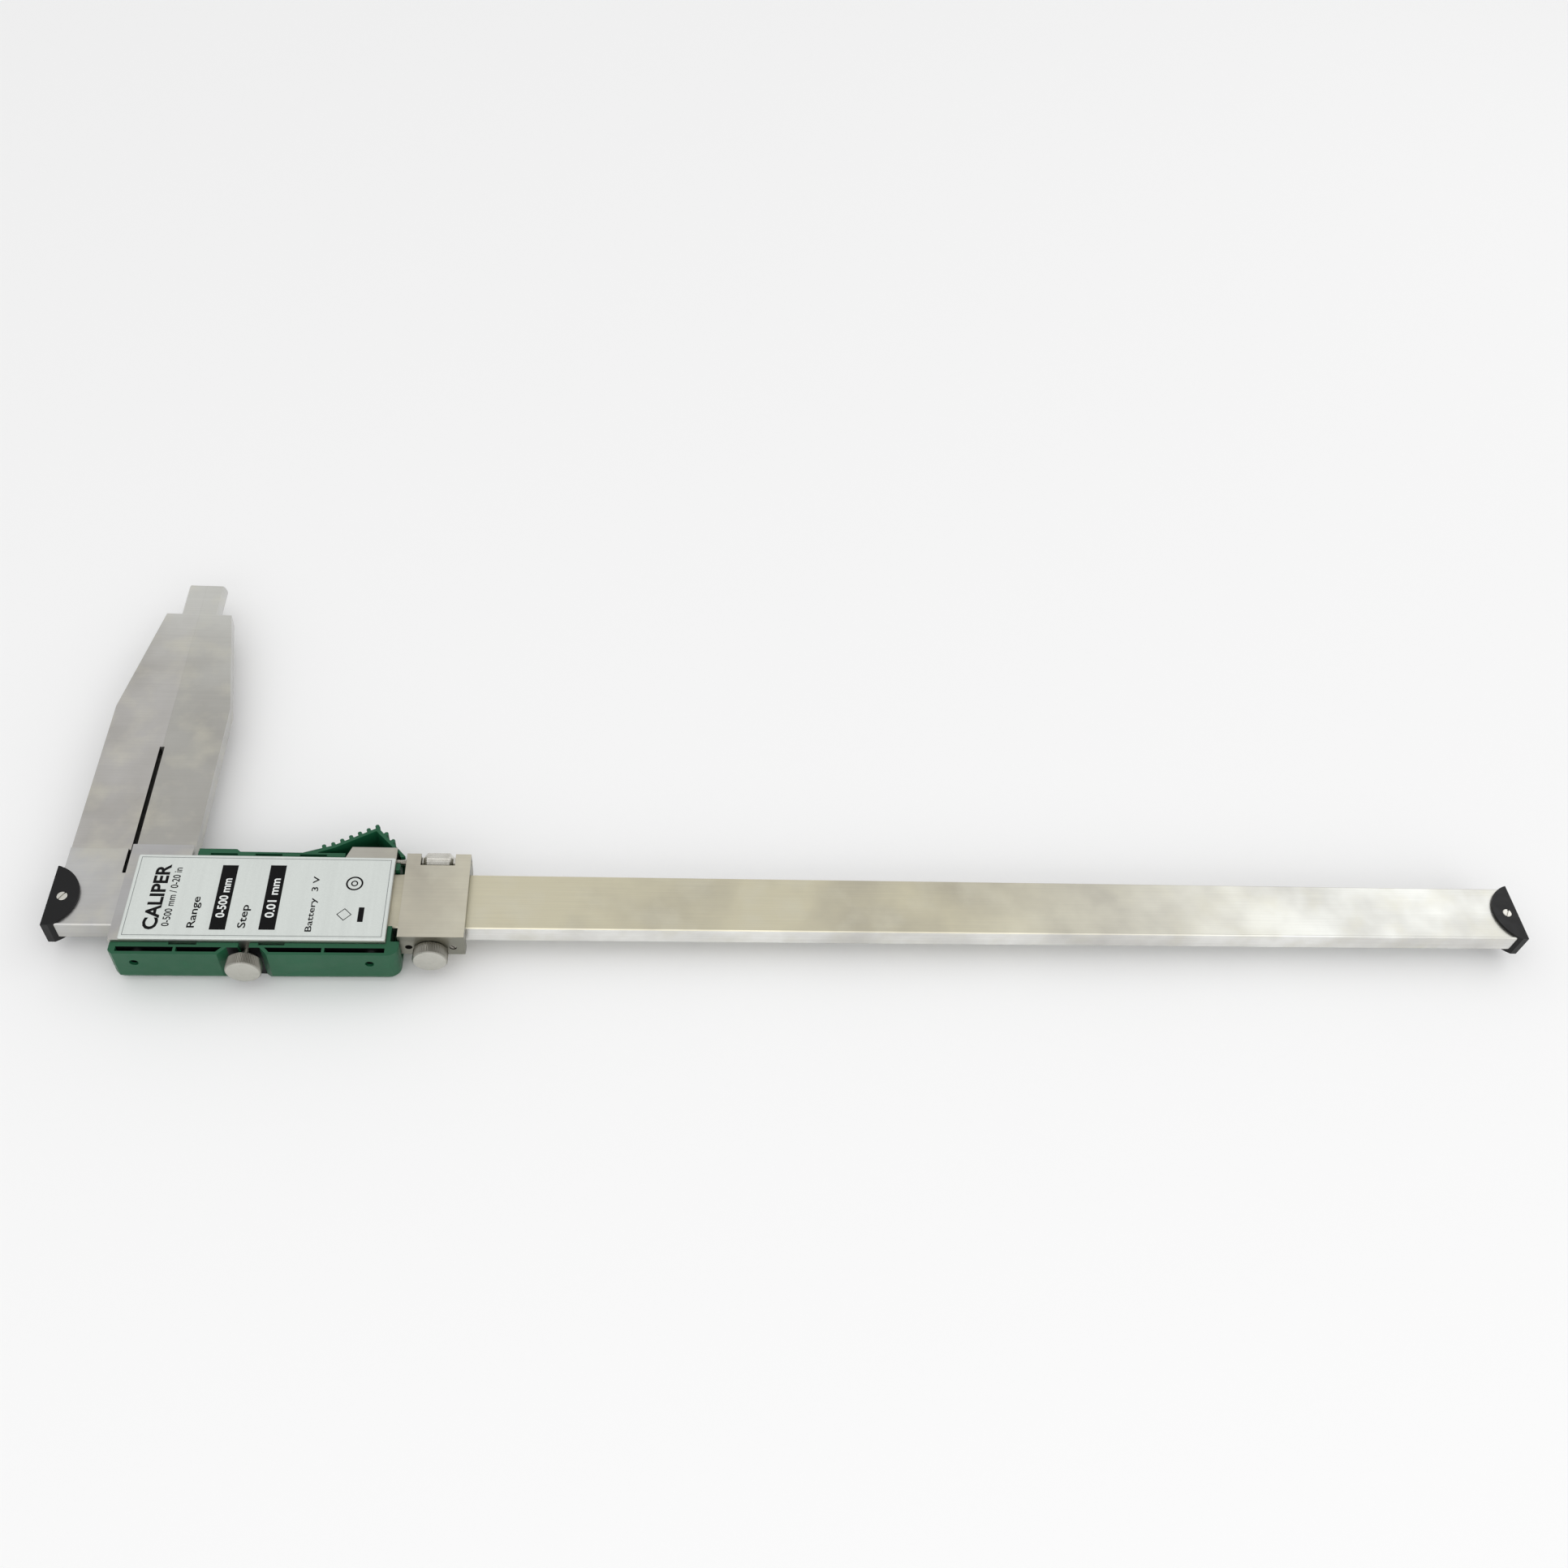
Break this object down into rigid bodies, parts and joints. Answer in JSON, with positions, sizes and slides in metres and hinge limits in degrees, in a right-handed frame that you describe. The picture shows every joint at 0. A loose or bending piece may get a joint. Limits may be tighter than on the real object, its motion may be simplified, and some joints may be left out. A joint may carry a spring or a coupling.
{
  "type": "digital caliper",
  "caption": "Long-range digital caliper with long nib jaws, a sliding display head, lock screws and a fine-adjustment carriage on a steel beam.",
  "frame": {"origin": "middle of the outline in X and Y, on the plane of the display face, which the tool rests on in Z", "axes": "+X along the beam away from the jaws, +Y towards the jaw tips, +Z out of the beam's plain back face"},
  "size_m": [0.7106, 0.2436, 0.0251],
  "materials": {
    "ground_steel": "satin ground",
    "polished_steel": "satin bright",
    "screw_steel": "satin",
    "label_silver": "matt silver",
    "green_plastic": "moulded satin",
    "black_plastic": "moulded satin",
    "brass": "turned",
    "board_laminate": "lacquered",
    "scale_film": "printed film",
    "clear_window": "clear",
    "lcd_glass": "glossy",
    "button_rubber": "soft"
  },
  "bodies": {
    "beam": {"main_beam": "ground_steel", "scale_strip": "scale_film", "end_cap_left": "black_plastic", "end_cap_right": "black_plastic", "cap_screw_left": "polished_steel", "cap_screw_right": "polished_steel"},
    "slider": {"slider_frame": "ground_steel", "back_label": "label_silver", "keeper_plate": "ground_steel", "slider_gib": "brass", "slider_gib_screw_1": "screw_steel", "slider_gib_screw_2": "screw_steel", "slider_lock_pad": "brass", "front_housing": "green_plastic", "housing_screw_1": "screw_steel", "housing_screw_2": "screw_steel", "housing_screw_3": "screw_steel", "housing_screw_4": "screw_steel", "fine_adjust_rod": "polished_steel", "circuit_board": "board_laminate", "display_window": "clear_window", "lcd_panel": "lcd_glass", "zebra_strip": "button_rubber", "power_switch": "black_plastic", "unit_switch": "black_plastic", "zero_switch": "black_plastic", "coin_cell": "polished_steel", "cell_contact_negative": "polished_steel", "cell_contact_positive": "polished_steel"},
    "carriage": {"carriage_block": "ground_steel", "carriage_plate": "ground_steel", "carriage_plate_screw_1": "screw_steel", "carriage_plate_screw_2": "screw_steel", "carriage_plate_screw_3": "screw_steel", "carriage_plate_screw_4": "screw_steel", "carriage_gib": "brass", "carriage_gib_screw_1": "screw_steel", "carriage_gib_screw_2": "screw_steel", "carriage_lock_pad": "brass"},
    "fine_nut": {"fine_adjust_nut": "polished_steel"},
    "slider_lock": {"slider_lock_screw": "polished_steel"},
    "carriage_lock": {"carriage_lock_screw": "polished_steel"},
    "cell_cover": {"battery_cover": "black_plastic"},
    "power_key": {"power_button": "button_rubber"},
    "unit_key": {"unit_button": "button_rubber"},
    "zero_key": {"zero_button": "button_rubber"}
  },
  "joints": [
    {"name": "slider_slide", "type": "slide", "parent": "beam", "child": "slider", "axis": [1, 0, 0], "range_m": [0, 0.5]},
    {"name": "carriage_slide", "type": "slide", "parent": "slider", "child": "carriage", "axis": [1, 0, 0], "range_m": [-0.001, 0.005]},
    {"name": "fine_nut_spin", "type": "hinge", "parent": "carriage", "child": "fine_nut", "pos_m": [-0.1849, -0.06345, 0.0202], "axis": [1, 0, 0], "range_deg": [-725, 3605]},
    {"name": "slider_lock_turn", "type": "hinge", "parent": "slider", "child": "slider_lock", "pos_m": [-0.2661, -0.11525, 0.01475], "axis": [0, -1, 0], "range_deg": [-45, 360]},
    {"name": "carriage_lock_turn", "type": "hinge", "parent": "carriage", "child": "carriage_lock", "pos_m": [-0.185, -0.10885, 0.01475], "axis": [0, -1, 0], "range_deg": [-45, 360]},
    {"name": "cell_cover_turn", "type": "hinge", "parent": "slider", "child": "cell_cover", "pos_m": [-0.222, -0.08675, 0.0005], "axis": [0, 0, 1], "range_deg": [0, 40]},
    {"name": "power_press", "type": "slide", "parent": "slider", "child": "power_key", "axis": [0, 0, 1], "range_m": [0, 0.0005], "stiffness_N_per_m": 800, "springref_m": -0.0008},
    {"name": "unit_press", "type": "slide", "parent": "slider", "child": "unit_key", "axis": [0, 0, 1], "range_m": [0, 0.0005], "stiffness_N_per_m": 800, "springref_m": -0.0008},
    {"name": "zero_press", "type": "slide", "parent": "slider", "child": "zero_key", "axis": [0, 0, 1], "range_m": [0, 0.0005], "stiffness_N_per_m": 800, "springref_m": -0.0008}
  ],
  "couplings": [
    {"joint": "fine_nut_spin", "follows": "carriage_slide", "rad_per_m": 12566}
  ]
}
